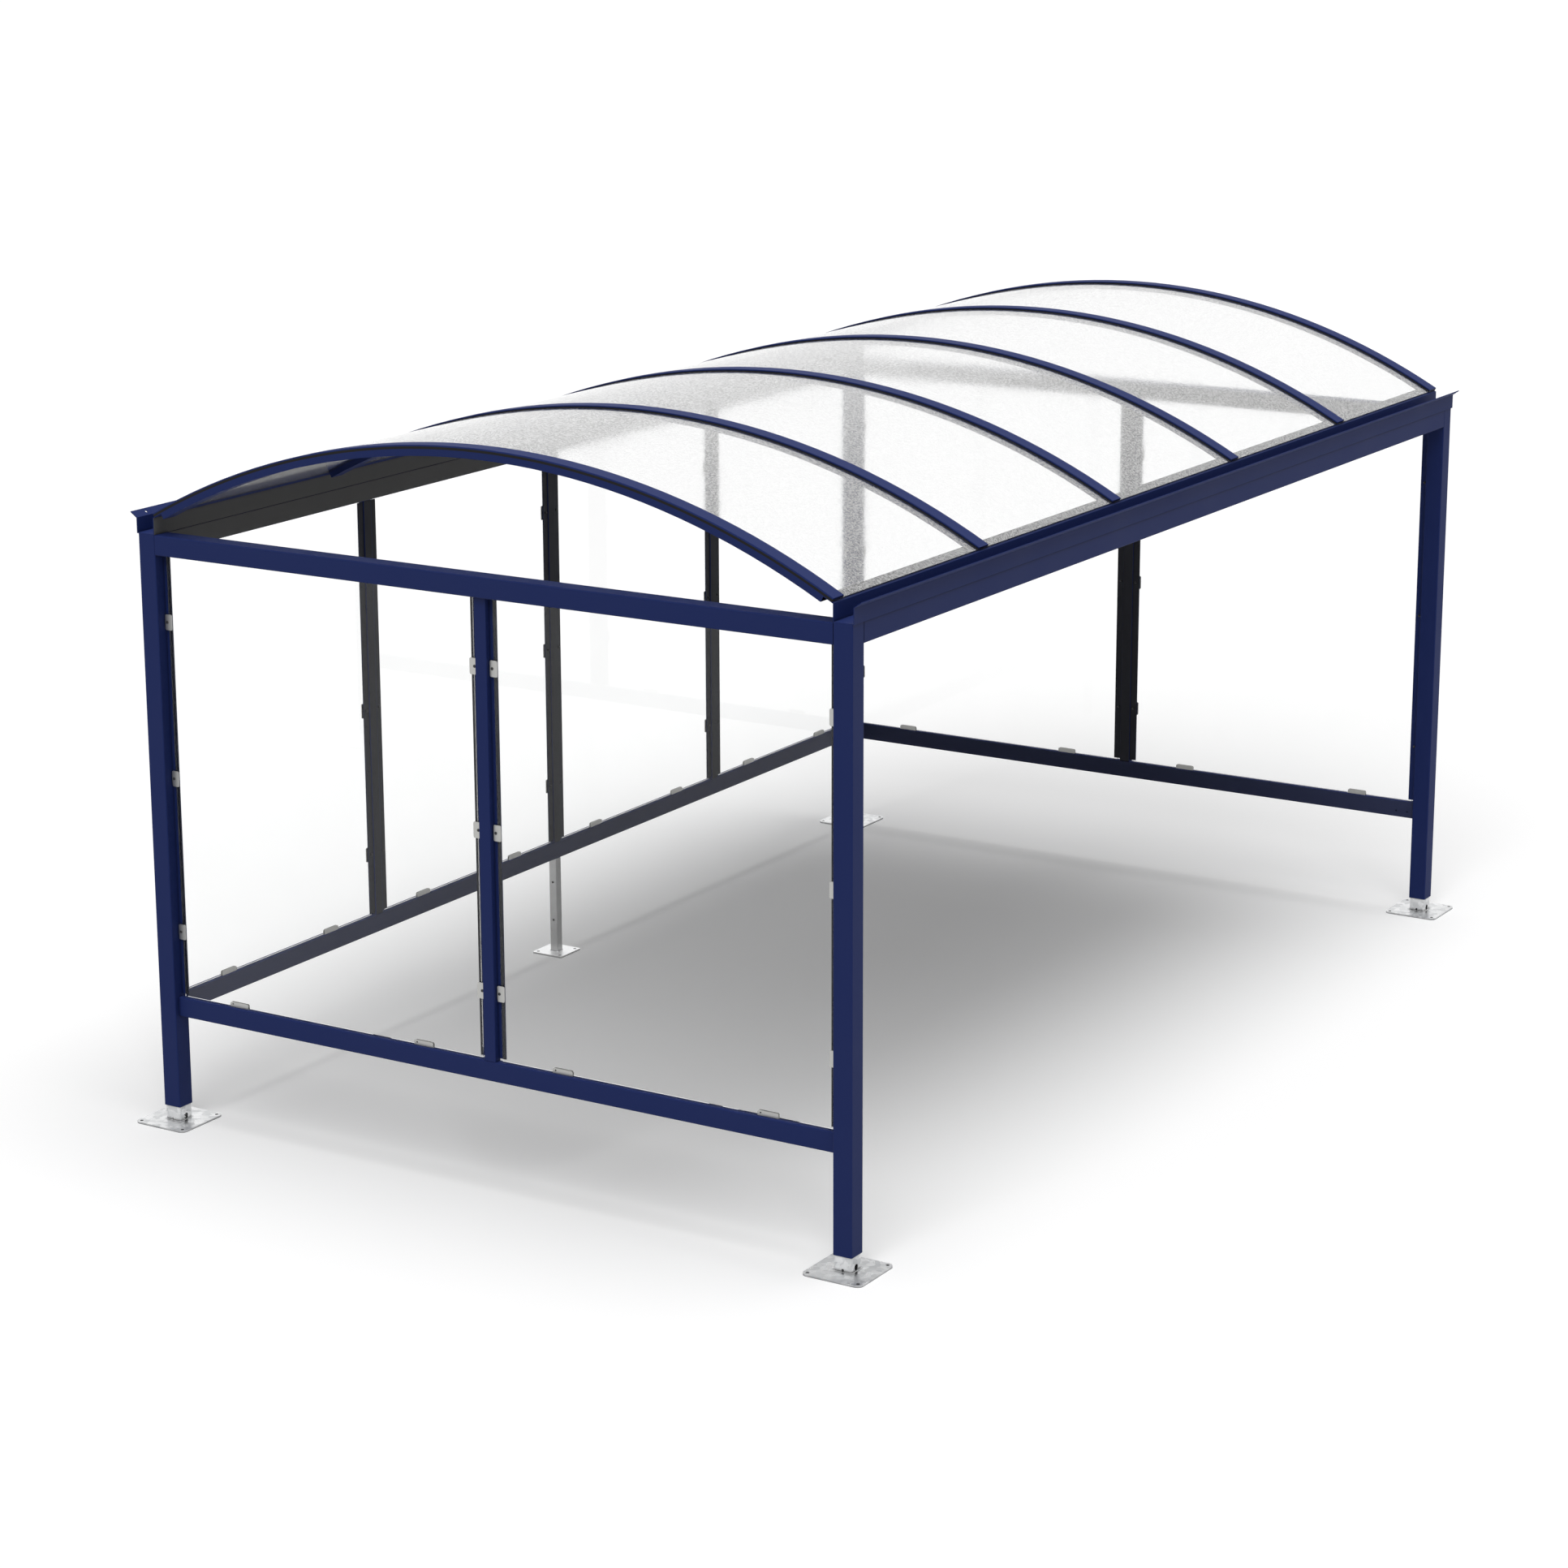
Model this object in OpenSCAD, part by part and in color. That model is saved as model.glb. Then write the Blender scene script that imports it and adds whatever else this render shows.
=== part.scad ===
// Bike shelter: four square posts on galvanised feet carry a ring of beams, two open
// gutters and a barrel roof of clear sheets held down by six arched cap strips.
// Both ends and the back are glazed between a bottom rail and the beams; the front is open.
// Millimetres, +Z up. Origin: on the ground under the middle of the plan, +X along the
// length, -Y towards the open front.

/* [Plan and heights] */
// Distance between post centres along the shelter
span_x = 5325; // [4200:5:6400]
// Distance between post centres from front to back
span_y = 3140; // [2600:5:3400]
// Height of the top of the posts and beams
eaves_z = 2410; // [2200:5:2600]

/* [Posts and beams] */
// Side of the square post and beam tube
post_w = 80; // [70:1:100]
// Wall of the post and beam tube
post_wall = 4; // [3:0.5:6]
// Outer corner radius of the post and beam tube
post_r = 5; // [4.5:0.5:8]
// Height of the bottom end of each post above the ground
post_z = 68; // [50:1:90]

/* [Feet] */
// Side of the square foot plate
foot_w = 252; // [220:2:300]
// Thickness of the foot plates
plate_t = 8; // [6:1:15]
// Corner radius of the foot plate
foot_r = 26; // [12:1:36]
// Distance of an anchor hole from both edges of its plate
hole_inset = 20; // [18:1:30]
// Diameter of the anchor holes
hole_d = 14; // [9:0.5:18]
// Length of the spigot inside the post
spigot_in = 140; // [80:5:250]
// Clearance on each side between spigot and post
spigot_fit = 0.3; // [0.1:0.1:1]
// Diameter of the drain hole through the front and back of the spigot
drain_d = 24; // [14:1:28]
// Diameter of the pin hole through the sides of the spigot
pin_d = 10; // [5:1:12]
// Height of the drain and pin holes above the plate
drain_up = 2; // [1:0.5:10]

/* [Glazed walls] */
// Height of the underside of the bottom rails
rail_z = 449; // [300:1:700]
// Height of the bottom rails
rail_h = 80; // [60:1:100]
// Depth of the bottom rails and of the mullion bars, which stand in the middle of the posts
rail_d = 35; // [32:1:45]
// Wall of the rail and mullion tubes
rail_wall = 3; // [2:0.5:4]
// Width of the bar of a mullion
bar_w = 52; // [40:1:70]
// Diameter of the two screw holes in the inside of a rail at each end
rail_hole_d = 8; // [5:0.5:12]
// Distance of the first screw hole from the post
rail_hole_at = 35; // [25:1:45]
// Distance between the two screw holes
rail_hole_gap = 55; // [30:1:80]
// Height of the screw holes above the underside of the rail
rail_hole_up = 30; // [20:1:40]
// Width of the glazing fin beside a bar or post
fin_w = 33; // [25:1:45]
// Thickness of the glazing fins
fin_t = 4; // [3:0.5:6]
// Set-back of the fins from the inside of the mullion bars
fin_back = 5.5; // [5:0.5:7]
// Gap between the ends of a fin and the rail or beam
fin_gap = 10; // [5:1:25]
// Thickness of the glass
glass_t = 6; // [4:0.5:8]
// Gap between the edge of a pane and the bar or post beside it
glass_edge = 20; // [18:1:24]
// Gap between the top of a pane and the beam
glass_top = 8; // [4:1:20]
// Seat clearance between the glass and what holds it
glass_fit = 0.3; // [0.1:0.1:1]

/* [Clips] */
// Height of a glass clip
clip_h = 63; // [40:1:80]
// Width of a glass clip
clip_w = 33; // [26:1:40]
// Thickness of a glass clip
clip_t = 3; // [2:0.5:4]
// Corner radius of a glass clip
clip_r = 6; // [2:0.5:10]
// Gap between a glass clip and the bar or post
clip_gap = 4; // [1:0.5:6]
// Distance of a clip's screw from the bar or post
clip_screw = 14; // [12:0.5:15]
// Diameter of a clip's screw hole
clip_hole_d = 7; // [4:0.5:8]
// Length of a bottom clip along its rail
sill_w = 90; // [60:1:120]
// Height of a bottom clip
sill_h = 20; // [14:1:30]
// Radius of the upper corners of a bottom clip
sill_r = 8; // [2:0.5:9]
// Distance of the middle of a bottom clip from the bar or post
sill_at = 298; // [150:1:400]

/* [Support leg] */
// Side of the leg tube under the back rail
leg_w = 40; // [30:1:50]
// Side of the leg's plate
leg_plate_w = 160; // [120:2:200]
// Corner radius of the leg's plate
leg_plate_r = 10; // [5:1:20]
// Diameter of the two holes through the leg
leg_hole_d = 11; // [6:1:16]

/* [Gutters] */
// Sheet thickness of the gutters
sheet_t = 3; // [2:0.5:4]
// Height of the gutter's outer wall
gutter_h = 60; // [40:1:90]
// Overhang of the gutter's outer wall beyond the posts
gutter_over = 6; // [0:0.5:15]
// Width of the gutter's sloping lip
lip_w = 29; // [15:1:45]
// Rise of the gutter's sloping lip
lip_rise = 20; // [8:1:35]
// Diameter of the hole near each end of the lip
lip_hole_d = 11; // [5:1:14]
// Distance of the lip hole from the end of the gutter
lip_hole_at = 74; // [30:1:150]
// Width of the folded flange that carries the roof edge
seat_w = 38; // [25:1:60]

/* [Roof] */
// Rise of the roof's bearing surface above the eaves at the crown
roof_rise = 461; // [320:1:560]
// Height of the roof's bearing surface above the eaves at the gutter
roof_seat = 70; // [60:1:80]
// Width of the cap strips and ribs
cap_w = 72; // [60:1:90]
// Thickness of the cap strips
cap_t = 6; // [4:0.5:10]
// Bevel along the upper edges of the cap strips
cap_bevel = 2; // [0.5:0.5:3]
// Depth of the ribs under the sheets
rib_h = 26; // [20:1:40]
// Wall of the rib tube
rib_wall = 3; // [2:0.5:4]
// Thickness of the roof sheets
roof_t = 6.2; // [4:0.1:10]
// Thickness of the rubber between sheet and cap strip
seal_t = 3; // [1.5:0.5:5]
// Width of the rubber web between two sheets
seal_web = 10; // [6:1:16]

/* [Hidden] */
$fn = 64;
eps = 0.5;

// Fixed counts: one roof sheet a bay, and four panes along the back
bays = 5;
back_panes = 4;

// Outer faces of the posts, and the clear widths between them
out_x = span_x / 2 + post_w / 2;
out_y = span_y / 2 + post_w / 2;
in_x = span_x / 2 - post_w / 2;
in_y = span_y / 2 - post_w / 2;

// Levels of the glazed walls
rail_top = rail_z + rail_h;
beam_z = eaves_z - post_w;

// Depths of the wall layers, measured inwards from the outside of the posts
wall_out = (post_w - rail_d) / 2;
wall_in = wall_out + rail_d;
fin_in = wall_in - fin_back;
fin_out = fin_in - fin_t;
glass_in = fin_out - glass_fit;
glass_out = glass_in - glass_t;
clip_in = glass_out - glass_fit;
clip_out = clip_in - clip_t;
shoe_in = glass_in + glass_fit + clip_t;
glass_z = rail_top + clip_t + glass_fit;
clip_levels = [0.15, 0.5, 0.85];
leg_hole_levels = [0.35, 0.75];

// Barrel roof: radius of the bearing surface through gutter seats and crown
roof_sag = roof_rise - roof_seat;
roof_r = (pow(in_y, 2) + pow(roof_sag, 2)) / (2 * roof_sag);
roof_cz = eaves_z + roof_rise - roof_r;
sheet_r = roof_r + glass_fit;
seal_r = sheet_r + roof_t;
cap_r = seal_r + seal_t;
roof_a = asin(in_y / cap_r);
rib_a = asin((in_y - seat_w) / roof_r);
bay = 2 * out_x / bays;

// Place of each arch: the end ones stand flush with the outside of the posts
function arch_x(i) = i == 0 ? -out_x + cap_w / 2
    : i == bays ? out_x - cap_w / 2
    : -out_x + i * bay;

blue = "#26315c";
zinc = "#a9acb0";
clear = [0.85, 0.9, 0.92, 0.3];

// Rectangle with round corners, centred
module round_rect(w, d, r) {
    square([w - 2 * r, d], center = true);
    square([w, d - 2 * r], center = true);
    for (x = [-1, 1], y = [-1, 1])
        translate([x * (w / 2 - r), y * (d / 2 - r)])
            circle(r);
}

// Rectangular tube section, centred
module tube_section(w, d, wall, r) {
    difference() {
        round_rect(w, d, r);
        round_rect(w - 2 * wall, d - 2 * wall, max(r - wall, eps));
    }
}

// Tube along +X with its middle at the origin; w is its depth in Y and h its height
module tube_x(len, w, h, wall, r) {
    rotate([0, 90, 0])
        linear_extrude(len, center = true)
            tube_section(h, w, wall, r);
}

// Turns a wall drawn with its outside towards -X and its length along Y to an end or the back
module on_wall(side) {
    if (side == "left")
        translate([-out_x, 0, 0])
            children();
    if (side == "right")
        translate([out_x, 0, 0])
            rotate([0, 0, 180])
                children();
    if (side == "back")
        translate([0, out_y, 0])
            rotate([0, 0, -90])
                children();
}

// Post with the glazing fins welded to the faces where glass meets it
module post(sx, sy) {
    color(blue)
        translate([sx * span_x / 2, sy * span_y / 2, 0])
            union() {
                translate([0, 0, post_z])
                    linear_extrude(eaves_z - post_z)
                        tube_section(post_w, post_w, post_wall, post_r);
                post_fin([sx * (post_w / 2 - fin_in + fin_t / 2), -sy * (post_w + fin_w) / 2], 0);
                if (sy > 0)
                    post_fin([-sx * (post_w + fin_w) / 2, sy * (post_w / 2 - fin_in + fin_t / 2)], 90);
            }
}

// Upright strip that the glass lies against
module post_fin(at, turn) {
    fin_len = beam_z - rail_top - 2 * fin_gap;
    translate([at[0], at[1], rail_top + fin_gap + fin_len / 2])
        rotate([0, 0, turn])
            cube([fin_t, fin_w, fin_len], center = true);
}

// Plate with four corner holes
module base_plate(w, r) {
    linear_extrude(plate_t)
        difference() {
            round_rect(w, w, r);
            for (x = [-1, 1], y = [-1, 1])
                translate([x * (w / 2 - hole_inset), y * (w / 2 - hole_inset)])
                    circle(d = hole_d);
        }
}

// Galvanised foot: a plate with a square spigot that the post slides over
module foot(sx, sy) {
    spigot_w = post_w - 2 * post_wall - 2 * spigot_fit;
    hole_z = plate_t + drain_up;
    color(zinc)
        translate([sx * span_x / 2, sy * span_y / 2, 0])
            difference() {
                union() {
                    base_plate(foot_w, foot_r);
                    translate([0, 0, plate_t - eps])
                        linear_extrude(post_z + spigot_in - plate_t + eps)
                            tube_section(spigot_w, spigot_w, post_wall, post_r - 1);
                }
                translate([0, 0, hole_z + drain_d / 2])
                    rotate([90, 0, 0])
                        cylinder(d = drain_d, h = post_w, center = true);
                translate([0, 0, hole_z + pin_d / 2])
                    rotate([0, 90, 0])
                        cylinder(d = pin_d, h = post_w, center = true);
            }
}

// Beam between two posts, flush with their outside
module beam(side) {
    lengthwise = side == "front" || side == "back";
    color(blue)
        if (lengthwise)
            translate([0, (side == "front" ? -1 : 1) * span_y / 2, eaves_z - post_w / 2])
                tube_x(2 * in_x, post_w, post_w, post_wall, post_r);
        else
            translate([(side == "left" ? -1 : 1) * span_x / 2, 0, eaves_z - post_w / 2])
                rotate([0, 0, 90])
                    tube_x(2 * in_y, post_w, post_w, post_wall, post_r);
}

// Bottom rail between two posts, with two screw holes in its inside at each end
module rail(side) {
    len = side == "back" ? 2 * in_x : 2 * in_y;
    color(blue)
        on_wall(side)
            difference() {
                translate([wall_out + rail_d / 2, 0, rail_z + rail_h / 2])
                    rotate([0, 0, 90])
                        tube_x(len, rail_d, rail_h, rail_wall, post_r);
                for (end = [-1, 1], i = [0, 1])
                    translate([
                        wall_in - rail_wall - eps,
                        end * (len / 2 - rail_hole_at - i * rail_hole_gap),
                        rail_z + rail_hole_up
                    ])
                        rotate([0, 90, 0])
                            cylinder(d = rail_hole_d, h = rail_wall + 2 * eps);
            }
}

// Mullion: a tube bar with a glazing fin welded to each of its sides
module mullion(side, at) {
    fin_len = beam_z - rail_top - 2 * fin_gap;
    root = rail_wall / 2;
    color(blue)
        on_wall(side)
            translate([0, at, 0])
                union() {
                    translate([wall_out + rail_d / 2, 0, rail_top])
                        linear_extrude(beam_z - rail_top)
                            tube_section(rail_d, bar_w, rail_wall, post_r - 1);
                    for (s = [-1, 1])
                        translate([
                            fin_out + fin_t / 2,
                            s * (bar_w + fin_w - root) / 2,
                            rail_top + fin_gap + fin_len / 2
                        ])
                            cube([fin_t, fin_w + root, fin_len], center = true);
                }
}

// Edges of the panes along a wall: each pane lies between two uprights
function pane_count(side) = side == "back" ? back_panes : 2;
function wall_half(side) = side == "back" ? in_x : in_y;
function wall_pitch(side) = side == "back" ? span_x / back_panes : span_y / 2;
function upright(side, i) = (i - pane_count(side) / 2) * wall_pitch(side);
function pane_low(side, i) = i == 0 ? -wall_half(side) : upright(side, i) + bar_w / 2;
function pane_high(side, i) = i == pane_count(side) - 1 ? wall_half(side)
    : upright(side, i + 1) - bar_w / 2;

// All panes of one wall
module glass(side) {
    top = beam_z - glass_top;
    color(clear)
        on_wall(side)
            for (i = [0 : pane_count(side) - 1])
                translate([glass_out, pane_low(side, i) + glass_edge, glass_z])
                    cube([
                        glass_t,
                        pane_high(side, i) - pane_low(side, i) - 2 * glass_edge,
                        top - glass_z
                    ]);
}

// Side clip: a plate over the edge of the pane, on a pad screwed to the fin
module side_clip() {
    pad_w = glass_edge - 2 * glass_fit;
    difference() {
        union() {
            translate([clip_out, clip_w / 2 + clip_gap, 0])
                rotate([0, 90, 0])
                    linear_extrude(clip_t)
                        round_rect(clip_h, clip_w, clip_r);
            translate([clip_in - eps, clip_gap + clip_r / 2, -clip_h / 4])
                cube([fin_out - clip_in + eps, pad_w - clip_gap - clip_r / 2, clip_h / 2]);
        }
        translate([clip_out - eps, clip_screw, 0])
            rotate([0, 90, 0])
                cylinder(d = clip_hole_d, h = fin_out - clip_out + 2 * eps);
    }
}

// Upright plate of a bottom clip, with its upper corners rounded
module sill_plate() {
    rotate([90, 0, 90])
        linear_extrude(clip_t) {
            translate([-sill_w / 2, 0])
                square([sill_w, sill_h - sill_r]);
            translate([-sill_w / 2 + sill_r, 0])
                square([sill_w - 2 * sill_r, sill_h]);
            for (s = [-1, 1])
                translate([s * (sill_w / 2 - sill_r), sill_h - sill_r])
                    circle(sill_r);
        }
}

// Bottom clip: a shoe that stands on the rail, carries the pane and keeps it upright
module sill_clip() {
    difference() {
        union() {
            translate([clip_out, -sill_w / 2, 0])
                cube([shoe_in - clip_out, sill_w, clip_t]);
            for (x = [clip_out, shoe_in - clip_t])
                translate([x, 0, 0])
                    sill_plate();
        }
        translate([clip_out - eps, sill_w / 2 - clip_screw, (sill_h + clip_t) / 2])
            rotate([0, 90, 0])
                cylinder(d = clip_hole_d, h = clip_t + 2 * eps);
    }
}

// All clips of one wall
module clips(side) {
    wall_h = beam_z - rail_top;
    color("silver")
        on_wall(side)
            for (i = [0 : pane_count(side) - 1]) {
                low = pane_low(side, i);
                high = pane_high(side, i);
                for (level = clip_levels) {
                    translate([0, low, rail_top + level * wall_h])
                        side_clip();
                    translate([0, high, rail_top + level * wall_h])
                        mirror([0, 1, 0])
                            side_clip();
                }
                for (at = [low + sill_at, high - sill_at])
                    translate([0, at, rail_top])
                        sill_clip();
            }
}

// Galvanised leg under the middle of the back rail, on its own small plate
module support_leg() {
    color(zinc)
        translate([0, span_y / 2, 0])
            difference() {
                union() {
                    base_plate(leg_plate_w, leg_plate_r);
                    translate([0, 0, plate_t - eps])
                        linear_extrude(rail_z - plate_t + eps)
                            tube_section(leg_w, leg_w, rail_wall, post_r - 1);
                }
                for (level = leg_hole_levels)
                    translate([0, 0, level * rail_z])
                        rotate([0, 90, 0])
                            cylinder(d = leg_hole_d, h = 2 * leg_w, center = true);
            }
}

// Folded gutter: holed lip, outer wall, floor, inner wall and the flange under the roof edge
module gutter(sy) {
    wall_y = out_y + gutter_over;
    wall_z = eaves_z + gutter_h;
    seat_y = in_y - seat_w;
    seat_z = roof_cz + sqrt(pow(roof_r, 2) - pow(seat_y, 2));
    fold_z = eaves_z + roof_seat;
    color(blue)
        rotate([0, 0, sy < 0 ? 180 : 0])
            difference() {
                rotate([90, 0, 90])
                    linear_extrude(2 * out_x, center = true)
                        polygon([
                            [in_y, eaves_z],
                            [wall_y, eaves_z],
                            [wall_y, wall_z],
                            [wall_y + lip_w, wall_z + lip_rise],
                            [wall_y + lip_w - sheet_t / 2, wall_z + lip_rise + sheet_t],
                            [wall_y - sheet_t, wall_z + sheet_t / 2],
                            [wall_y - sheet_t, eaves_z + sheet_t],
                            [in_y + sheet_t, eaves_z + sheet_t],
                            [in_y + sheet_t, fold_z - sheet_t / 2],
                            [in_y, fold_z],
                            [seat_y, seat_z],
                            [seat_y, seat_z - sheet_t],
                            [in_y, fold_z - sheet_t]
                        ]);
                for (s = [-1, 1])
                    translate([s * (out_x - lip_hole_at), wall_y + lip_w / 2, wall_z + lip_rise / 2])
                        rotate([atan2(lip_rise, lip_w), 0, 0])
                            cylinder(d = lip_hole_d, h = 4 * sheet_t, center = true);
            }
}

// Sweeps a section drawn as [radius, along] over the barrel, from eaves to eaves
module on_barrel(half_angle) {
    translate([0, 0, roof_cz])
        rotate([90, 0, 90])
            rotate([0, 0, 90 - half_angle])
                rotate_extrude(angle = 2 * half_angle, $fn = 256)
                    children();
}

// Arched rib: a flat tube bent to the barrel, between the gutter flanges
module roof_rib(i) {
    color(blue)
        on_barrel(rib_a)
            translate([roof_r - rib_h / 2, arch_x(i)])
                difference() {
                    square([rib_h, cap_w], center = true);
                    square([rib_h - 2 * rib_wall, cap_w - 2 * rib_wall], center = true);
                }
}

// Web of the rubber profile at an arch, as its low and high edge along X
function web_low(i) = i == 0 ? -out_x : i == bays ? out_x - seal_web : arch_x(i) - seal_web / 2;
function web_high(i) = web_low(i) + seal_web;

// Clear sheet of one bay, from web to web
module roof_sheet(i) {
    low = web_high(i) + glass_fit;
    high = web_low(i + 1) - glass_fit;
    color(clear)
        on_barrel(roof_a)
            translate([sheet_r, low])
                square([roof_t, high - low]);
}

// Rubber profiles: a web between the sheets and a strip under each cap
module roof_seals() {
    color("#17171a")
        for (i = [0 : bays])
            on_barrel(roof_a)
                union() {
                    translate([seal_r, arch_x(i) - cap_w / 2])
                        square([seal_t, cap_w]);
                    translate([roof_r, web_low(i)])
                        square([seal_r - roof_r + seal_t / 2, seal_web]);
                }
}

// Cap strips: bevelled flat bars that clamp the sheets down on the ribs
module roof_caps() {
    color(blue)
        for (i = [0 : bays])
            on_barrel(roof_a)
                translate([cap_r, arch_x(i)])
                    polygon([
                        [0, -cap_w / 2],
                        [cap_t - cap_bevel, -cap_w / 2],
                        [cap_t, -cap_w / 2 + cap_bevel],
                        [cap_t, cap_w / 2 - cap_bevel],
                        [cap_t - cap_bevel, cap_w / 2],
                        [0, cap_w / 2]
                    ]);
}

post(-1, -1);  // post_left_front
post(-1, 1);  // post_left_back
post(1, -1);  // post_right_front
post(1, 1);  // post_right_back
foot(-1, -1);  // foot_left_front
foot(-1, 1);  // foot_left_back
foot(1, -1);  // foot_right_front
foot(1, 1);  // foot_right_back
beam("front");  // beam_front
beam("back");  // beam_back
beam("left");  // beam_left
beam("right");  // beam_right
rail("left");  // rail_left
rail("right");  // rail_right
rail("back");  // rail_back
support_leg();
mullion("left", 0);  // mullion_left
mullion("right", 0);  // mullion_right
mullion("back", upright("back", 1));  // mullion_back_left
mullion("back", upright("back", 2));  // mullion_back_middle
mullion("back", upright("back", 3));  // mullion_back_right
glass("left");  // glass_left
glass("right");  // glass_right
glass("back");  // glass_back
clips("left");  // clips_left
clips("right");  // clips_right
clips("back");  // clips_back
gutter(-1);  // gutter_front
gutter(1);  // gutter_back
roof_rib(0);  // roof_rib_1
roof_rib(1);  // roof_rib_2
roof_rib(2);  // roof_rib_3
roof_rib(3);  // roof_rib_4
roof_rib(4);  // roof_rib_5
roof_rib(5);  // roof_rib_6
roof_sheet(0);  // roof_sheet_1
roof_sheet(1);  // roof_sheet_2
roof_sheet(2);  // roof_sheet_3
roof_sheet(3);  // roof_sheet_4
roof_sheet(4);  // roof_sheet_5
roof_seals();
roof_caps();
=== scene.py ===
import math

import bpy
import numpy as np
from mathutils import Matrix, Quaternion, Vector


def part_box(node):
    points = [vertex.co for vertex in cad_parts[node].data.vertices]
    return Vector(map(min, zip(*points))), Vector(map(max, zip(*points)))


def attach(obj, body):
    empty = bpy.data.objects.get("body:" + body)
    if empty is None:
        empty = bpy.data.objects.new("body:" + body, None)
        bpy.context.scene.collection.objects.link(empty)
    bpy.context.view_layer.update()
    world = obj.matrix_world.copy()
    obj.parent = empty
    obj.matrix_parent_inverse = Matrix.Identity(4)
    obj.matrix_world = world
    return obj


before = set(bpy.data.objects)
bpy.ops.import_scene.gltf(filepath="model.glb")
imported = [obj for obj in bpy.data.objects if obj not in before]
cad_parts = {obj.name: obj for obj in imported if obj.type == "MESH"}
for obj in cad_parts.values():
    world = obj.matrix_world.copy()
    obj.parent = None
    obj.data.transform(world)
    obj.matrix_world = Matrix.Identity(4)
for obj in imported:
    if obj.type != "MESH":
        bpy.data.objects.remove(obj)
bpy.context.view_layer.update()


# Feet: square steel plates, each with a square spigot welded on top, hot-dip galvanised.
# A plate is anchored through its four corner holes and the post slides over the spigot.
# The zinc has set in bright and dull crystals, with a rippled weld round the spigot.

foot_nodes = ["foot_left_front", "foot_left_back", "foot_right_front", "foot_right_back"]
spigot_half = 0.0357
spigot_corner = 0.004
plate_top = 0.008
weld_out = 0.004
weld_up = 0.0018
weld_ripple = 0.0035
weld_swell = 0.18
sharp_from = math.radians(35)
zinc_bright = (0.92, 0.925, 0.93, 1.0)
zinc_dull = (0.54, 0.55, 0.56, 1.0)
# Near-black colour of the painted shade in the feet's holes and corners, and how far it reaches.
zinc_painted_shade = (0.05, 0.05, 0.052, 1.0)
zinc_shade_reach = 0.014
spangle_per_m = 42.0
wander_per_m = 45.0
wander_reach = 0.014
zinc_frost_per_m = 700.0
zinc_frost_share = 0.3
zinc_rough_dull = 0.38
zinc_rough_bright = 0.24


def new_finish(name):
    """An empty material: returns it, its node tree and its one Principled shader."""
    made = bpy.data.materials.new(name)
    made.use_nodes = True
    return made, made.node_tree, made.node_tree.nodes["Principled BSDF"]


def add_node(tree, kind, feeds=None, **settings):
    """Adds a shader node; feeds maps its inputs to plain values or to other nodes' outputs."""
    node = tree.nodes.new(kind)
    for key, value in settings.items():
        setattr(node, key, value)
    for key, value in (feeds or {}).items():
        if isinstance(value, bpy.types.NodeSocket):
            tree.links.new(value, node.inputs[key])
        else:
            node.inputs[key].default_value = value
    return node


def maths(tree, operation, first, second, third=0.0):
    """One Math node; returns its result."""
    feeds = {0: first, 1: second, 2: third}
    return add_node(tree, "ShaderNodeMath", feeds, operation=operation).outputs[0]


def blend_colours(tree, share, first, second):
    """Colour that goes from first to second as share goes from 0 to 1: a Mix node's colour sockets."""
    return add_node(tree, "ShaderNodeMix", {0: share, 6: first, 7: second}, data_type="RGBA").outputs[2]


def dress(node_names, finish):
    """Gives each named solid of the frame one finish."""
    for node_name in node_names:
        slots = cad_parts[node_name].data.materials
        slots.clear()
        slots.append(finish)


def add_piece(name, points, faces, finish, slot):
    """A new mesh piece in place, shaded smooth but for its sharp edges, fixed to the frame."""
    mesh = bpy.data.meshes.new(name)
    mesh.from_pydata(points.reshape(-1, 3).tolist(), [], faces)
    mesh.shade_smooth()
    mesh.set_sharp_from_angle(angle=sharp_from)
    mesh.materials.append(finish)
    piece = bpy.data.objects.new(name, mesh)
    bpy.context.scene.collection.objects.link(piece)
    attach(piece, "root")


def rounded_square(half, corner, steps=40, bend_steps=8):
    """Closed path round a square, counter-clockwise, and its outward normals: one straight side
    and one quarter circle, turned by four quarter turns."""
    side = np.linspace(-1, 1, steps) * (half - corner)
    bend = np.linspace(0, np.pi / 2, bend_steps)[1:-1]
    bend_normal = np.stack([np.cos(bend), np.sin(bend)], axis=-1)
    quarter = np.concatenate([np.stack([np.full(steps, half), side], axis=-1),
                              half - corner + corner * bend_normal])
    quarter_normal = np.concatenate([np.tile([1.0, 0.0], (steps, 1)), bend_normal])
    turn = np.arange(4) * np.pi / 2
    turned = np.stack([np.stack([np.cos(turn), -np.sin(turn)], axis=-1),
                       np.stack([np.sin(turn), np.cos(turn)], axis=-1)], axis=1)
    path = np.einsum("kij,mj->kmi", turned, quarter).reshape(-1, 2)
    normal = np.einsum("kij,mj->kmi", turned, quarter_normal).reshape(-1, 2)
    return path, normal


def weld_bead(half, corner, base_z, arc_steps=6):
    """Fillet weld round a square tube: a quarter ellipse carried round the tube's outline and closed
    into the corner, swollen by a rectified sine of the length along it for its ripples."""
    path, normal = rounded_square(half, corner)
    along = np.cumsum(np.linalg.norm(np.roll(path, -1, axis=0) - path, axis=1))
    swell = 1 + weld_swell * np.abs(np.sin(np.pi * along / weld_ripple))
    arc = np.linspace(0, np.pi / 2, arc_steps)
    outward = np.append(weld_out * np.cos(arc), 0.0)
    upward = np.append(weld_up * np.sin(arc), 0.0)
    level = path[:, None, :] + normal[:, None, :] * (swell[:, None] * outward)[..., None]
    height = base_z + swell[:, None] * upward
    return np.concatenate([level, height[..., None]], axis=-1)


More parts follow.
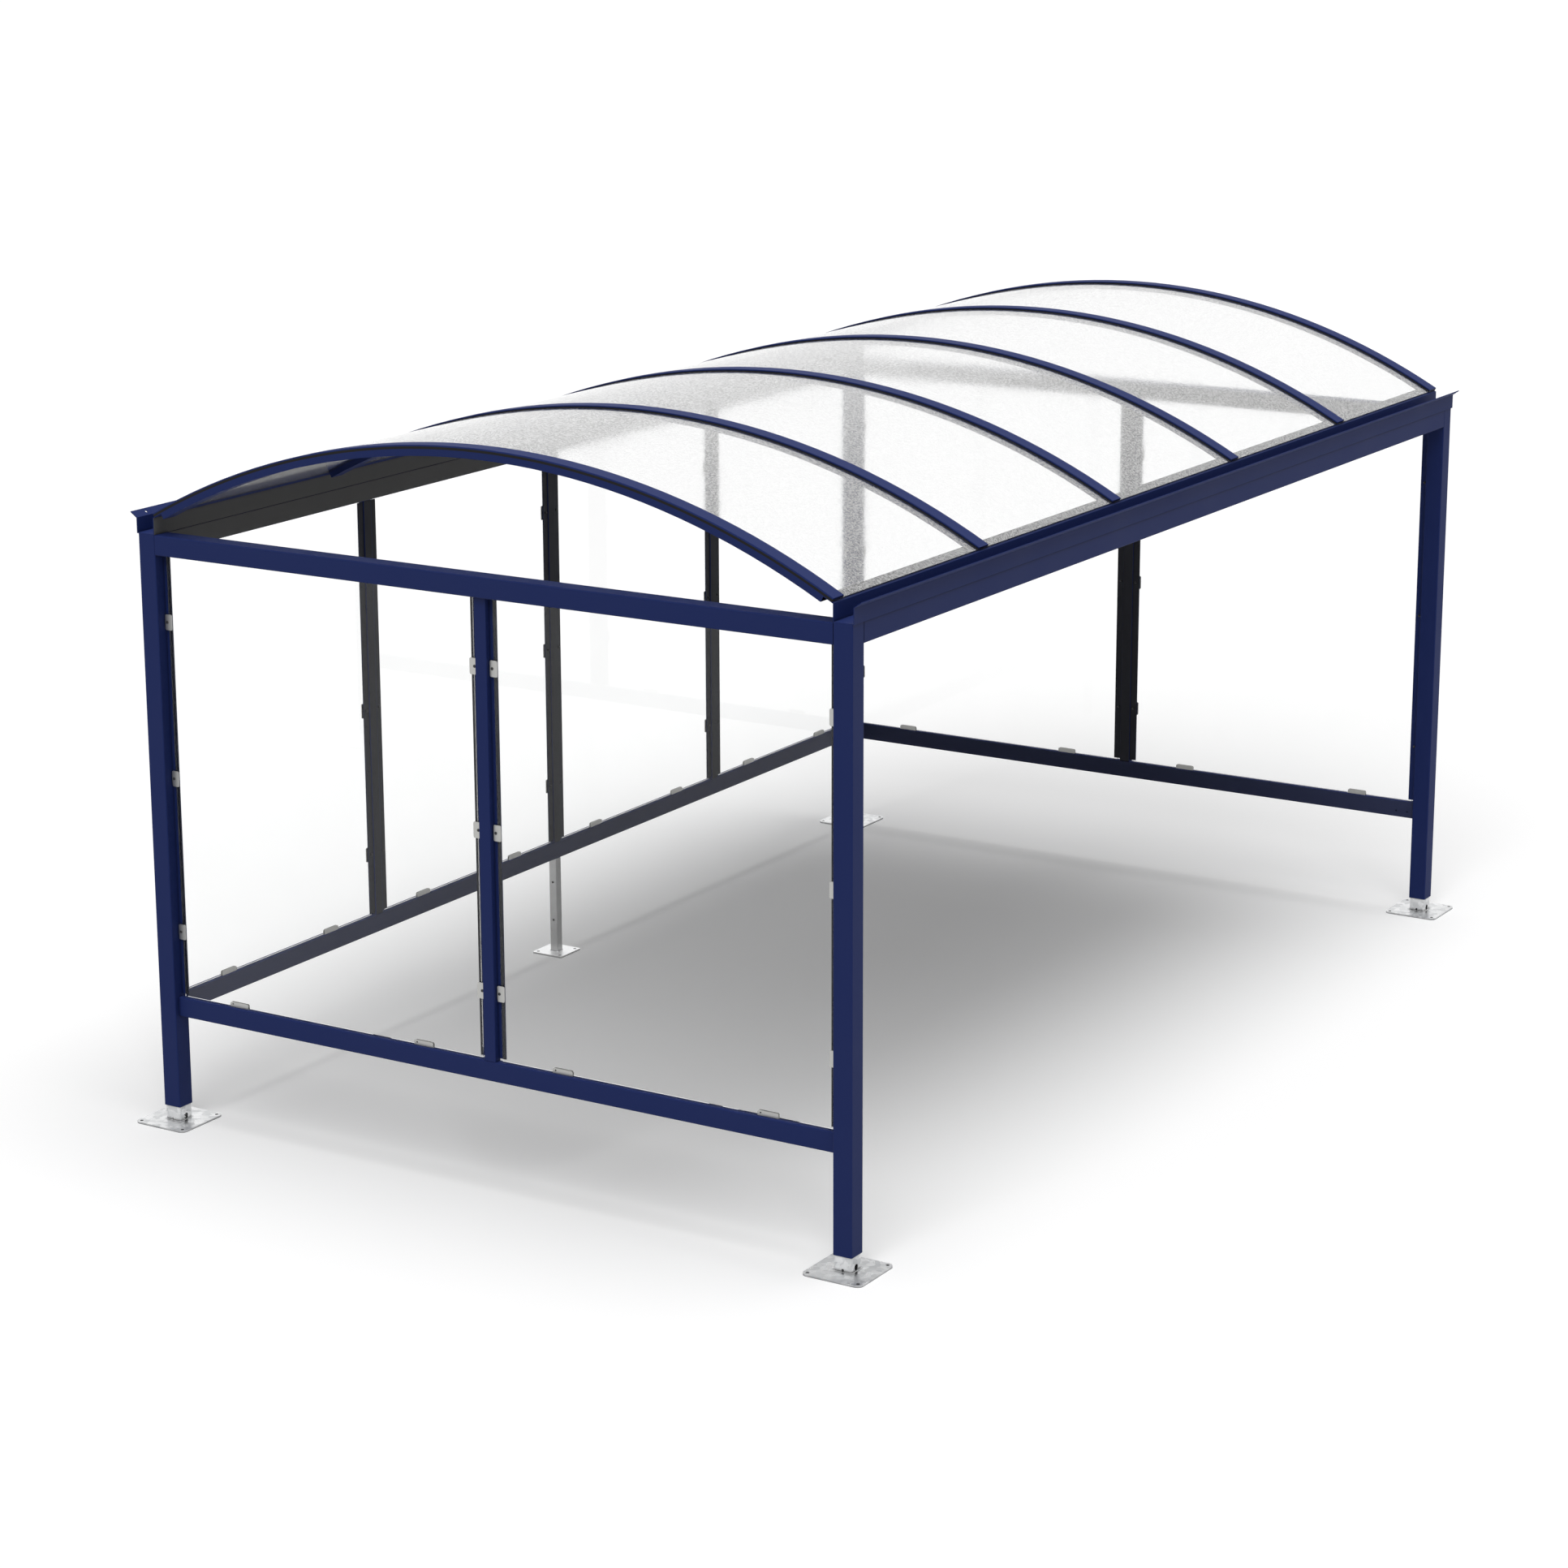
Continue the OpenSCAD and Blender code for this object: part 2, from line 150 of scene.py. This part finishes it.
def ring_faces(rows, sides):
    """Quads of a grid that closes in both directions."""
    row, step = np.meshgrid(np.arange(rows), np.arange(sides), indexing="ij")
    next_row = (row + 1) % rows
    next_step = (step + 1) % sides
    corners = [row * sides + step, next_row * sides + step,
               next_row * sides + next_step, row * sides + next_step]
    return np.stack(corners, axis=-1).reshape(-1, 4)


zinc, zinc_tree, zinc_shader = new_finish("galvanised_steel")
zinc_place = add_node(zinc_tree, "ShaderNodeTexCoord").outputs["Object"]
zinc_wander = add_node(zinc_tree, "ShaderNodeTexNoise", {"Vector": zinc_place, "Scale": wander_per_m})
zinc_bent = add_node(zinc_tree, "ShaderNodeVectorMath",
                     {0: zinc_wander.outputs["Color"], 1: [wander_reach] * 3, 2: zinc_place},
                     operation="MULTIPLY_ADD").outputs[0]
spangle = add_node(zinc_tree, "ShaderNodeTexVoronoi", {"Vector": zinc_bent, "Scale": spangle_per_m})
spangle_tone = add_node(zinc_tree, "ShaderNodeSeparateColor", {0: spangle.outputs["Color"]}).outputs[0]
zinc_frost = add_node(zinc_tree, "ShaderNodeTexNoise",
                      {"Vector": zinc_place, "Scale": zinc_frost_per_m}).outputs[0]
zinc_crystals = maths(zinc_tree, "MULTIPLY", spangle_tone, 1 - zinc_frost_share)
zinc_tone = maths(zinc_tree, "MULTIPLY_ADD", zinc_frost, zinc_frost_share, zinc_crystals)
zinc_colour = blend_colours(zinc_tree, zinc_tone, zinc_dull, zinc_bright)
# Painted shade: an occlusion node darkens the anchor holes, the plate's edges and the corner round the
# spigot towards a near-black colour.
zinc_open = add_node(zinc_tree, "ShaderNodeAmbientOcclusion", {"Distance": zinc_shade_reach}, samples=8)
zinc_clear = maths(zinc_tree, "MULTIPLY", zinc_open.outputs["AO"], zinc_open.outputs["AO"])
zinc_shaded = blend_colours(zinc_tree, zinc_clear, zinc_painted_shade, zinc_colour)
zinc_tree.links.new(zinc_shaded, zinc_shader.inputs["Base Color"])
zinc_rough = maths(zinc_tree, "MULTIPLY_ADD", zinc_tone, zinc_rough_bright - zinc_rough_dull,
                   zinc_rough_dull)
zinc_tree.links.new(zinc_rough, zinc_shader.inputs["Roughness"])
zinc_relief = add_node(zinc_tree, "ShaderNodeBump",
                       {"Strength": 0.2, "Distance": 0.0004, "Height": zinc_tone})
zinc_tree.links.new(zinc_relief.outputs[0], zinc_shader.inputs["Normal"])
zinc_shader.inputs["Metallic"].default_value = 1.0
dress(foot_nodes, zinc)

bead = weld_bead(spigot_half, spigot_corner, plate_top)
bead_faces = ring_faces(*bead.shape[:2])
foot_low = np.array([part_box(node_name)[0] for node_name in foot_nodes])
foot_high = np.array([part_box(node_name)[1] for node_name in foot_nodes])
foot_middle = (foot_low + foot_high) / 2 * [1, 1, 0]
bead_points = foot_middle[:, None, None, :] + bead
bead_starts = np.arange(len(foot_nodes)) * bead.shape[0] * bead.shape[1]
all_bead_faces = (bead_faces + bead_starts[:, None, None]).reshape(-1, 4).tolist()
add_piece("foot_welds", bead_points, all_bead_faces, zinc, "galvanised")


# Posts: square steel tubes with rounded edges, powder coated dark blue, with flat fins welded on
# for the glass. They slide over the spigots of the feet and carry the beams.
# The coat has a fine orange peel and a film of dust on what faces up; its seams and corners are darkened
# by painted shade.

post_nodes = ["post_left_front", "post_left_back", "post_right_front", "post_right_back"]
paint_blue = (0.0085, 0.02, 0.107, 1.0)
paint_dust = (0.30, 0.31, 0.33, 1.0)
seam_shade_colour = (0.001, 0.002, 0.006, 1.0)
seam_shade_reach = 0.012
dust_cover = 0.015
paint_shine = 0.27
to_middle = (-1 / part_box("beam_right")[0].x, -1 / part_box("beam_back")[0].y, 0.0)
inward_near = 0.92
inward_within = 0.115


def new_group(name, inputs, outputs):
    """A shader node group with named sockets: returns its tree, its input node and its output node."""
    tree = bpy.data.node_groups.new(name, "ShaderNodeTree")
    for socket_name, kind, value in inputs:
        socket = tree.interface.new_socket(name=socket_name, in_out="INPUT", socket_type=kind)
        socket.default_value = value
    for socket_name, kind in outputs:
        tree.interface.new_socket(name=socket_name, in_out="OUTPUT", socket_type=kind)
    return tree, tree.nodes.new("NodeGroupInput"), tree.nodes.new("NodeGroupOutput")


grain, grain_in, grain_out = new_group(
    "surface_grain",
    [("Colour", "NodeSocketColor", (0.5, 0.5, 0.5, 1.0)), ("Colour Spread", "NodeSocketFloat", 0.1),
     ("Patches per m", "NodeSocketFloat", 3.0), ("Grains per m", "NodeSocketFloat", 500.0),
     ("Roughness", "NodeSocketFloat", 0.4), ("Roughness Spread", "NodeSocketFloat", 0.1)],
    [("Colour", "NodeSocketColor"), ("Roughness", "NodeSocketFloat"), ("Height", "NodeSocketFloat")])
grain_place = add_node(grain, "ShaderNodeTexCoord").outputs["Object"]
patches = add_node(grain, "ShaderNodeTexNoise",
                   {"Vector": grain_place, "Scale": grain_in.outputs["Patches per m"],
                    "Detail": 5.0}).outputs[0]
grains = add_node(grain, "ShaderNodeTexNoise",
                  {"Vector": grain_place, "Scale": grain_in.outputs["Grains per m"],
                   "Detail": 2.0}).outputs[0]
patch_swing = maths(grain, "MULTIPLY_ADD", patches, 2.0, -1.0)
grain_swing = maths(grain, "MULTIPLY_ADD", grains, 1.0, -0.5)
both_swings = maths(grain, "ADD", patch_swing, grain_swing)
grain_value = maths(grain, "MULTIPLY_ADD", both_swings, grain_in.outputs["Colour Spread"], 1.0)
grain_colour = add_node(grain, "ShaderNodeHueSaturation",
                        {"Value": grain_value, "Color": grain_in.outputs["Colour"]}).outputs[0]
grain_rough = maths(grain, "MULTIPLY_ADD", patch_swing, grain_in.outputs["Roughness Spread"],
                    grain_in.outputs["Roughness"])
grain.links.new(grain_colour, grain_out.inputs["Colour"])
grain.links.new(grain_rough, grain_out.inputs["Roughness"])
grain.links.new(grains, grain_out.inputs["Height"])


def add_grain(tree, shader, colour, spread, patch_scale, grain_scale, rough, rough_spread, relief):
    """Places the grain group in a finish: joins its colour, its roughness and, by a bump, its height."""
    used = add_node(tree, "ShaderNodeGroup", node_tree=grain)
    values = {"Colour": colour, "Colour Spread": spread, "Patches per m": patch_scale,
              "Grains per m": grain_scale, "Roughness": rough, "Roughness Spread": rough_spread}
    for key, value in values.items():
        used.inputs[key].default_value = value
    tree.links.new(used.outputs["Colour"], shader.inputs["Base Color"])
    tree.links.new(used.outputs["Roughness"], shader.inputs["Roughness"])
    if relief:
        bump = add_node(tree, "ShaderNodeBump",
                        {"Strength": relief, "Distance": 0.0003, "Height": used.outputs["Height"]})
        tree.links.new(bump.outputs[0], shader.inputs["Normal"])
    return used


def powder_coat(name, inner_shade=paint_blue):
    """The frame's blue coat. The dot product of to_middle with place times normal is near 1 on those
    faces of the walls that look into the shelter, and they take the given inner colour, a painted shade.
    What faces up is dusty, and seams and inner corners are darkened by a painted shade."""
    coat, tree, shader = new_finish(name)
    coat_grain = add_grain(tree, shader, paint_blue, spread=0.06, patch_scale=2.5, grain_scale=900.0,
                           rough=0.68, rough_spread=0.06, relief=0.25)
    place = add_node(tree, "ShaderNodeTexCoord").outputs["Object"]
    normal = add_node(tree, "ShaderNodeNewGeometry").outputs["Normal"]
    outward = add_node(tree, "ShaderNodeVectorMath", {0: place, 1: normal},
                       operation="MULTIPLY").outputs[0]
    inward = add_node(tree, "ShaderNodeVectorMath", {0: outward, 1: to_middle},
                      operation="DOT_PRODUCT").outputs["Value"]
    # Painted shade: faces that look into the shelter take the given inner colour, darker and greyer than
    # the coat.
    inner_shade_mask = maths(tree, "COMPARE", inward, inward_near, inward_within)
    with_inner_shade = blend_colours(tree, inner_shade_mask, coat_grain.outputs["Colour"], inner_shade)
    up = add_node(tree, "ShaderNodeSeparateXYZ", {0: normal}).outputs[2]
    dusted = maths(tree, "MULTIPLY", maths(tree, "MAXIMUM", up, 0.0), dust_cover)
    dusty = blend_colours(tree, dusted, with_inner_shade, paint_dust)
    # Painted shade: an occlusion node darkens seams and inner corners towards a near-black blue.
    seam = add_node(tree, "ShaderNodeAmbientOcclusion", {"Distance": seam_shade_reach}, samples=8)
    shaded = blend_colours(tree, seam.outputs["AO"], seam_shade_colour, dusty)
    tree.links.new(shaded, shader.inputs["Base Color"])
    shader.inputs["Specular IOR Level"].default_value = paint_shine
    return coat


paint = powder_coat("blue_powder_coat")
dress(post_nodes, paint)


# Beams: the same square tube, butted between the posts and welded flush with their outside.
# The front and back ones carry the gutters; the end ones close the glazed ends at the top.
# Their inner faces carry a charcoal grey painted shade.

beam_inner_shade = (0.132, 0.132, 0.132, 1.0)
beam_paint = powder_coat("beam_powder_coat", beam_inner_shade)
dress(["beam_front", "beam_back", "beam_left", "beam_right"], beam_paint)


# Bottom rails: flat rectangular tubes between the posts, in the same coat, with a greyer painted shade on
# the inner face.
# The panes stand on clips on top of them, and two holes near each end take the fixing screws.

rail_inner_shade = (0.032, 0.04, 0.097, 1.0)
rail_paint = powder_coat("rail_powder_coat", rail_inner_shade)
dress(["rail_left", "rail_right", "rail_back"], rail_paint)


# Support leg: a galvanised square tube on its own small anchored plate, welded all round.
# It holds up the middle of the long back rail.
# The zinc is dull and even on the sides, and turns bright on what faces up.

leg_half = 0.020
leg_grey = (0.36, 0.36, 0.36, 1.0)
leg_low, leg_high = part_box("support_leg")
leg_middle = np.array((leg_low + leg_high) / 2) * [1, 1, 0]
leg_bead = weld_bead(leg_half, spigot_corner, plate_top)
leg_bead_faces = ring_faces(*leg_bead.shape[:2]).tolist()
add_piece("leg_weld", leg_middle + leg_bead, leg_bead_faces, zinc, "galvanised")
leg_zinc, leg_tree, leg_shader = new_finish("dull_galvanised_steel")
leg_grain = add_grain(leg_tree, leg_shader, leg_grey, spread=0.12, patch_scale=20.0, grain_scale=300.0,
                      rough=0.42, rough_spread=0.06, relief=0.15)
leg_up = add_node(leg_tree, "ShaderNodeSeparateXYZ",
                  {0: add_node(leg_tree, "ShaderNodeNewGeometry").outputs["Normal"]}).outputs[2]
leg_colour = blend_colours(leg_tree, maths(leg_tree, "MAXIMUM", leg_up, 0.0),
                           leg_grain.outputs["Colour"], zinc_bright)
leg_tree.links.new(leg_colour, leg_shader.inputs["Base Color"])
leg_shader.inputs["Metallic"].default_value = 1.0
dress(["support_leg"], leg_zinc)


# Mullions: upright tube bars with a flat fin welded to each side, in the same coat.
# They stand on the bottom rails and end under the beams. Their inner faces carry a nearly black painted
# shade.

back_bars = ["mullion_back_left", "mullion_back_middle", "mullion_back_right"]
bar_inner_shade = (0.02, 0.021, 0.028, 1.0)
bar_paint = powder_coat("bar_powder_coat", bar_inner_shade)
dress(["mullion_left", "mullion_right", *back_bars], bar_paint)


# Glass: clear toughened panes with polished edges, held off the bars and posts.
# They lie against the fins, so only their clips touch them; rain has left the faintest marks.

pane_tint = (0.988, 0.99, 0.989, 1.0)
pane_shade = (0.92, 0.92, 0.92, 1.0)


def let_light_through(tree, shader, tint):
    """Shadow rays and diffuse rays pass straight through a clear piece, tinted once at each face."""
    path = add_node(tree, "ShaderNodeLightPath")
    passing = maths(tree, "MAXIMUM", path.outputs["Is Shadow Ray"], path.outputs["Is Diffuse Ray"])
    plain = add_node(tree, "ShaderNodeBsdfTransparent", {"Color": tint})
    mixed = add_node(tree, "ShaderNodeMixShader",
                     {0: passing, 1: shader.outputs[0], 2: plain.outputs[0]})
    tree.links.new(mixed.outputs[0], tree.nodes["Material Output"].inputs["Surface"])


glass, glass_tree, glass_shader = new_finish("clear_glass")
add_grain(glass_tree, glass_shader, pane_tint, spread=0.012, patch_scale=6.0, grain_scale=90.0,
          rough=0.008, rough_spread=0.008, relief=0.0)
glass_shader.inputs["Transmission Weight"].default_value = 1.0
glass_shader.inputs["IOR"].default_value = 1.25
let_light_through(glass_tree, glass_shader, pane_shade)
dress(["glass_left", "glass_right", "glass_back"], glass)


# Clips: small aluminium plates with rounded corners that hold each pane's edge to the fins, and
# longer shoes on the rails that carry it. Black button-head screws go through the side clips
# into cap nuts behind the fins; a black set screw sits in the front of each shoe.

bar_w = 0.052
screw_off = 0.014
clip_levels = np.array([0.15, 0.5, 0.85])
fin_back = 0.0055
shoe_at = 0.298
shoe_screw = 0.031
shoe_screw_up = 0.0115
shoe_set_back = 0.0022
clip_grey = (0.47, 0.47, 0.455, 1.0)
black_steel = (0.035, 0.035, 0.038, 1.0)

clip_metal, clip_tree, clip_shader = new_finish("satin_aluminium")
add_grain(clip_tree, clip_shader, clip_grey, spread=0.08, patch_scale=40.0, grain_scale=1500.0,
          rough=0.45, rough_spread=0.08, relief=0.2)
clip_shader.inputs["Metallic"].default_value = 1.0
dress(["clips_left", "clips_right", "clips_back"], clip_metal)

blacked, blacked_tree, blacked_shader = new_finish("blacked_steel")
add_grain(blacked_tree, blacked_shader, black_steel, spread=0.2, patch_scale=80.0, grain_scale=2500.0,
          rough=0.5, rough_spread=0.1, relief=0.2)


def hexagon(apothem, turn):
    """Radius of a regular hexagon at each angle: apothem over the cosine from its flat's middle."""
    return apothem / np.cos(np.mod(turn, np.pi / 3) - np.pi / 6)


def rings_about_z(radii, heights, turn):
    """Rings of points about +Z, one row for each height, with a radius for every angle."""
    return np.stack([radii * np.cos(turn), radii * np.sin(turn), heights[:, None] + 0 * radii], axis=-1)


def button_head(radius, rise, socket, depth, rim_share=0.15, socket_edge=1.3, sides=24):
    """Domed screw head: a short rim, a quarter ellipse up to the socket and a six-sided recess."""
    turn = np.linspace(0, 2 * np.pi, sides, endpoint=False)
    dome = np.linspace(0, math.acos(socket_edge * socket / radius), 6)
    rim = rise * rim_share
    heights = np.concatenate([[0.0], rim + (rise - rim) * np.sin(dome)])
    heights = np.append(heights, [heights[-1], heights[-1] - depth])
    round_part = np.append(radius, radius * np.cos(dome))[:, None] * np.ones(sides)
    recess = np.tile(hexagon(socket, turn), (2, 1))
    return rings_about_z(np.vstack([round_part, recess]), heights, turn)


def cap_nut(apothem, body, dome_radius, dome_end=0.46, sides=24):
    """Cap nut: a six-sided body with a half ball on it, closed by a small flat at the pole."""
    turn = np.linspace(0, 2 * np.pi, sides, endpoint=False)
    rise = np.linspace(0, dome_end * np.pi, 6)
    heights = np.concatenate([[0.0, body], body + dome_radius * np.sin(rise)])
    dome = (dome_radius * np.cos(rise))[:, None] * np.ones(sides)
    return rings_about_z(np.vstack([np.tile(hexagon(apothem, turn), (2, 1)), dome]), heights, turn)


def stamp(rings, places, outs):
    """Copies of one turned piece: at each place its +Z lies along the out direction there.
    Returns the points and the faces, with a flat face closing each end."""
    rows, sides = rings.shape[:2]
    first = np.cross(outs, (0.0, 0.0, 1.0))
    basis = np.stack([first, np.cross(outs, first), outs], axis=1)
    points = places[:, None, :] + np.einsum("rk,nkj->nrj", rings.reshape(-1, 3), basis)
    row, step = np.meshgrid(np.arange(rows - 1), np.arange(sides), indexing="ij")
    after = (step + 1) % sides
    corners = [row * sides + step, row * sides + after,
               (row + 1) * sides + after, (row + 1) * sides + step]
    quads = np.stack(corners, axis=-1).reshape(-1, 4)
    ends = np.stack([np.arange(sides)[::-1], (rows - 1) * sides + np.arange(sides)])
    starts = np.arange(len(places)) * rows * sides
    all_quads = (quads + starts[:, None, None]).reshape(-1, 4).tolist()
    all_ends = (ends + starts[:, None, None]).reshape(-1, sides).tolist()
    return points, all_quads + all_ends


def wall_points(side, depth, lines, levels):
    """Points on one wall: every line along it at every level, at one depth across it."""
    along, height = (a.ravel() for a in np.meshgrid(lines, levels))
    across = np.full(along.size, depth)
    ordered = [along, across, height] if side == "back" else [across, along, height]
    return np.stack(ordered, axis=-1)


rail_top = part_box("rail_left")[1].z
beam_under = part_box("beam_left")[0].z
screw_levels = rail_top + clip_levels * (beam_under - rail_top)
end_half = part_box("beam_left")[1].y
back_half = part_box("beam_back")[1].x
back_uprights = np.array([(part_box(n)[0].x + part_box(n)[1].x) / 2 for n in back_bars])
walls = {
    "left": {"out": (-1.0, 0.0, 0.0), "half": end_half, "bars": np.zeros(1), "turned": 1,
             "front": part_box("clips_left")[0].x, "fin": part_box("mullion_left")[1].x - fin_back},
    "right": {"out": (1.0, 0.0, 0.0), "half": end_half, "bars": np.zeros(1), "turned": -1,
              "front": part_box("clips_right")[1].x, "fin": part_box("mullion_right")[0].x + fin_back},
    "back": {"out": (0.0, 1.0, 0.0), "half": back_half, "bars": back_uprights, "turned": 1,
             "front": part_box("clips_back")[1].y, "fin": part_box("mullion_back_middle")[0].y + fin_back},
}
head_places, nut_places, shoe_places, head_outs, shoe_outs = [], [], [], [], []
for side, wall in walls.items():
    faces_of_bars = np.add.outer(wall["bars"], [-bar_w / 2, bar_w / 2]).ravel()
    edges = np.concatenate([[-wall["half"]], faces_of_bars, [wall["half"]]]).reshape(-1, 2)
    screw_lines = (edges + [screw_off, -screw_off]).ravel()
    shoe_lines = (edges + [shoe_at, -shoe_at]).ravel() + wall["turned"] * shoe_screw
    head_places.append(wall_points(side, wall["front"], screw_lines, screw_levels))
    nut_places.append(wall_points(side, wall["fin"], screw_lines, screw_levels))
    shoe_depth = wall["front"] - shoe_set_back * sum(wall["out"])
    shoe_places.append(wall_points(side, shoe_depth, shoe_lines, [rail_top + shoe_screw_up]))
    head_outs.append(np.tile(wall["out"], (len(head_places[-1]), 1)))
    shoe_outs.append(np.tile(wall["out"], (len(shoe_places[-1]), 1)))
head_places, nut_places, shoe_places = map(np.concatenate, (head_places, nut_places, shoe_places))
head_outs, shoe_outs = map(np.concatenate, (head_outs, shoe_outs))

clip_screw = button_head(radius=0.006, rise=0.0032, socket=0.0019, depth=0.002)
clip_nut = cap_nut(apothem=0.005, body=0.0045, dome_radius=0.0042)
set_screw = button_head(radius=0.0033, rise=0.0008, socket=0.0015, depth=0.0018)
add_piece("clip_screws", *stamp(clip_screw, head_places, head_outs), blacked, "clip_metal")
add_piece("clip_nuts", *stamp(clip_nut, nut_places, -head_outs), blacked, "clip_metal")
add_piece("shoe_set_screws", *stamp(set_screw, shoe_places, shoe_outs), blacked, "clip_metal")


# Gutters: folded steel sheet on the front and back beams, open at the top, in the beams' coat.
# The outer wall turns out into a sloping lip; the inner wall folds in under the roof's edge.

# The beams' coat also gives the gutters' inward faces its charcoal painted shade and their seams painted
# shade.
dress(["gutter_front", "gutter_back"], beam_paint)


# Ribs: flat tubes rolled to the barrel, between the gutters' inner flanges, in the same coat.
# The roof sheets lie on them and meet over their middle.

rib_nodes = [node_name for node_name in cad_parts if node_name.startswith("roof_rib_")]
dress(rib_nodes, paint)


# Roof sheets: clear plastic sheets with a finely frosted face, bent over the ribs bay by bay.
# The frosted grains mirror the sky, so what lies behind the sheets turns pale.

sheet_nodes = [node_name for node_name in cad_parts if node_name.startswith("roof_sheet_")]
sheet_tint = (1.0, 1.0, 1.0, 1.0)
sheet_shade = (0.1, 0.1, 0.1, 1.0)
frost_from, frost_to = 0.44, 0.56
frosted, frosted_tree, frosted_shader = new_finish("frosted_sheet")
frosted_grain = add_grain(frosted_tree, frosted_shader, sheet_tint, spread=0.01, patch_scale=8.0,
                          grain_scale=110.0, rough=0.03, rough_spread=0.02, relief=0.0)
frost = add_node(frosted_tree, "ShaderNodeMapRange",
                 {"Value": frosted_grain.outputs["Height"],
                  "From Min": frost_from, "From Max": frost_to}).outputs[0]
frosted_tree.links.new(frost, frosted_shader.inputs["Coat Weight"])
frosted_shader.inputs["Coat IOR"].default_value = 2.3
frosted_shader.inputs["Coat Roughness"].default_value = 0.2
frosted_shader.inputs["Transmission Weight"].default_value = 0.97
frosted_shader.inputs["IOR"].default_value = 1.5
let_light_through(frosted_tree, frosted_shader, sheet_shade)
dress(sheet_nodes, frosted)


# Seals: black rubber profiles, one web between two sheets and a strip under each cap.
# They are squeezed when the caps are screwed down, and show as a thin dark line.

rubber_black = (0.012, 0.012, 0.013, 1.0)
rubber, rubber_tree, rubber_shader = new_finish("black_rubber")
add_grain(rubber_tree, rubber_shader, rubber_black, spread=0.25, patch_scale=10.0, grain_scale=1200.0,
          rough=0.7, rough_spread=0.1, relief=0.3)
rubber_shader.inputs["Specular IOR Level"].default_value = 0.2
dress(["roof_seals"], rubber)


# Cap strips: flat bars with bevelled edges, bent over the seals and screwed down on the ribs.
# They carry the same coat as the frame.

dress(["roof_caps"], paint)


# Studio: a wide pale floor under an even white surround, with a broad soft light high over the shelter
# and a second one from the near end.
# The camera and the mirrored light see only white there; the floor keeps the shelter's shadow.

floor_half = 300.0
floor_seen = (0.88, 0.88, 0.88, 1.0)
floor_lift = 0.215
floor_bounce = (0.5, 0.5, 0.5, 1.0)
sky_rise = 0.3
lights = {"top_light": (Vector((0.03, -0.17, 0.985)), 1.33),
          "end_light": (Vector((-0.6, -0.22, 0.77)), 1.36)}
light_width = math.radians(38)


def seen_directly(tree):
    """1 for what the camera sees straight, in a reflection or through glass, and 0 for other light."""
    path = add_node(tree, "ShaderNodeLightPath")
    mirrored = maths(tree, "MAXIMUM", path.outputs["Is Glossy Ray"],
                     path.outputs["Is Transmission Ray"])
    return maths(tree, "MAXIMUM", path.outputs["Is Camera Ray"], mirrored)


pale, pale_tree, pale_shader = new_finish("pale_floor")
pale_tree.nodes.remove(pale_shader)
pale_top = add_node(pale_tree, "ShaderNodeBsdfDiffuse", {"Color": floor_seen})
pale_lift = add_node(pale_tree, "ShaderNodeEmission", {"Strength": floor_lift})
pale_white = add_node(pale_tree, "ShaderNodeAddShader",
                      {0: pale_top.outputs[0], 1: pale_lift.outputs[0]})
pale_dim = add_node(pale_tree, "ShaderNodeBsdfDiffuse", {"Color": floor_bounce})
pale_mixed = add_node(pale_tree, "ShaderNodeMixShader",
                      {0: seen_directly(pale_tree), 1: pale_dim.outputs[0], 2: pale_white.outputs[0]})
pale_tree.links.new(pale_mixed.outputs[0], pale_tree.nodes["Material Output"].inputs["Surface"])
floor_mesh = bpy.data.meshes.new("floor")
floor_corners = floor_half * np.array([[-1, -1, 0], [1, -1, 0], [1, 1, 0], [-1, 1, 0]])
floor_mesh.from_pydata(floor_corners.tolist(), [], [(0, 1, 2, 3)])
floor_mesh.materials.append(pale)
floor = bpy.data.objects.new("floor", floor_mesh)
bpy.context.scene.collection.objects.link(floor)

surround = bpy.data.worlds.new("white_surround")
surround.use_nodes = True
surround_tree = surround.node_tree
sky_up = add_node(surround_tree, "ShaderNodeSeparateXYZ",
                  {0: add_node(surround_tree, "ShaderNodeTexCoord").outputs["Generated"]}).outputs[2]
sky_light = maths(surround_tree, "MULTIPLY", maths(surround_tree, "MAXIMUM", sky_up, 0.0), sky_rise)
sky_strength = add_node(surround_tree, "ShaderNodeMix",
                        {0: seen_directly(surround_tree), 2: sky_light, 3: 1.0}).outputs[0]
surround_tree.nodes["Background"].inputs["Color"].default_value = (1.0, 1.0, 1.0, 1.0)
surround_tree.links.new(sky_strength, surround_tree.nodes["Background"].inputs["Strength"])
bpy.context.scene.world = surround

for light_name, (light_from, light_strength) in lights.items():
    softbox = bpy.data.lights.new(light_name, "SUN")
    softbox.energy = light_strength
    softbox.angle = light_width
    stand = bpy.data.objects.new(light_name, softbox)
    stand.rotation_mode = "QUATERNION"
    stand.rotation_quaternion = (-light_from).to_track_quat("-Z", "Y")
    stand.visible_glossy = False
    bpy.context.scene.collection.objects.link(stand)


# Camera: a long lens off the near left corner of the open front, looking slightly down.
# Its place, aim, roll and lens were fitted so that the shelter lies as in the photo.

camera_place = Vector((-13.9706, -8.2806, 5.3014))
camera_target = Vector((-0.8050, -0.1586, 1.2149))
camera_roll = math.radians(-0.172)
camera_lens = 88.99
view_camera = bpy.data.cameras.new("camera")
view_camera.lens = camera_lens
view_camera.sensor_width = 36.0
view_camera.clip_end = 1000.0
camera = bpy.data.objects.new("camera", view_camera)
camera.location = camera_place
camera.rotation_mode = "QUATERNION"
camera.rotation_quaternion = ((camera_target - camera_place).to_track_quat("-Z", "Y")
                              @ Quaternion((0.0, 0.0, 1.0), camera_roll))
bpy.context.scene.collection.objects.link(camera)
bpy.context.scene.camera = camera
bpy.context.scene.view_settings.view_transform = "Standard"
